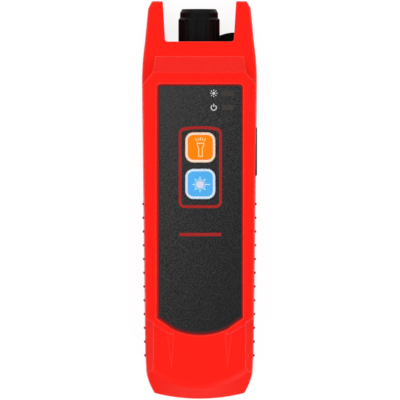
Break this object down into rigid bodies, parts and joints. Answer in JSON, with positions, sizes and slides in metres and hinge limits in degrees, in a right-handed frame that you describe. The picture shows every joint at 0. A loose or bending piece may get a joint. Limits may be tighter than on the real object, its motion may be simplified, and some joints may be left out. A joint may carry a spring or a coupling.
{
  "type": "visual fault locator",
  "caption": "Handheld fibre-optic visual fault locator with horned head, tethered dust cap over the optical port, torch and laser keys, and side charging flap.",
  "frame": {"origin": "centre of the overall width and length, on the plane the back rests on", "axes": "lies on its back: +X to the charging flap's side, +Y along the length towards the optical port, +Z out of the key face"},
  "size_m": [0.042, 0.145, 0.0294],
  "materials": {
    "shell_red": "satin moulded, fine texture",
    "seal_rubber": "matt",
    "screw_steel": "plated",
    "film_black": "fine matt grain, printed",
    "print_red": "screen print",
    "key_rim_warm": "soft satin",
    "key_rim_cool": "soft satin",
    "key_orange": "soft satin",
    "key_blue": "soft satin",
    "switch_black": "satin",
    "switch_steel": "pressed sheet",
    "board_green": "solder resist",
    "led_white": "moulded",
    "guide_clear": "clear acrylic",
    "chip_black": "moulded epoxy",
    "socket_cream": "nylon",
    "socket_steel": "plated sheet",
    "flap_rubber": "matt",
    "deck_black": "satin",
    "barrel_nickel": "turned and plated",
    "sleeve_ceramic": "ground ceramic",
    "tube_brass": "turned",
    "lens_glass": "polished",
    "diode_gold": "gold plated",
    "cap_rubber": "satin rubber",
    "lamp_clear": "clear epoxy",
    "cell_sleeve": "shrink sleeve",
    "tab_nickel": "rolled strip",
    "foam_grey": "closed-cell foam",
    "wire_red": "insulation",
    "wire_white": "insulation",
    "wire_black": "insulation"
  },
  "bodies": {
    "case": {"front_shell": "shell_red", "rear_shell": "shell_red", "case_seal": "seal_rubber", "case_screws": "screw_steel", "panel_film": "film_black", "red_print": "print_red", "tact_switches": "switch_steel", "control_board": "board_green", "board_screws": "screw_steel", "indicator_leds": "led_white", "light_guide": "guide_clear", "control_chip": "chip_black", "lead_sockets": "socket_cream", "usb_socket": "socket_steel", "flap_tail": "flap_rubber", "port_deck": "deck_black", "adapter_barrel": "barrel_nickel", "barrel_nut": "barrel_nickel", "ferrule_sleeve": "sleeve_ceramic", "laser_tube": "tube_brass", "coupling_lens": "lens_glass", "laser_diode": "diode_gold", "torch_lamp": "lamp_clear", "battery_cell": "cell_sleeve", "cell_tabs": "tab_nickel", "foam_pad": "foam_grey", "laser_leads": "wire_red", "torch_leads": "wire_white", "battery_leads": "wire_black", "cap_strap": "cap_rubber"},
    "torch_button": {"torch_key": "key_rim_warm", "torch_plate": "key_orange", "torch_plunger": "switch_black"},
    "laser_button": {"laser_key": "key_rim_cool", "laser_plate": "key_blue", "laser_plunger": "switch_black"},
    "cap": {"dust_cap": "cap_rubber"},
    "flap": {"port_flap": "flap_rubber"}
  },
  "joints": [
    {"name": "torch_key_press", "type": "slide", "parent": "case", "child": "torch_button", "axis": [0, 0, -1], "range_m": [0, 0.0005], "stiffness_N_per_m": 3000},
    {"name": "laser_key_press", "type": "slide", "parent": "case", "child": "laser_button", "axis": [0, 0, -1], "range_m": [0, 0.0005], "stiffness_N_per_m": 3000},
    {"name": "cap_pull", "type": "slide", "parent": "case", "child": "cap", "axis": [0, 1, 0], "range_m": [0, 0.013], "deforming": ["cap_strap"]},
    {"name": "flap_swing", "type": "hinge", "parent": "case", "child": "flap", "pos_m": [0.02056, 0.02635, 0.0187], "axis": [0, 0, 1], "range_deg": [0, 90], "stiffness_Nm_per_rad": 0.003, "deforming": ["flap_tail"]}
  ]
}
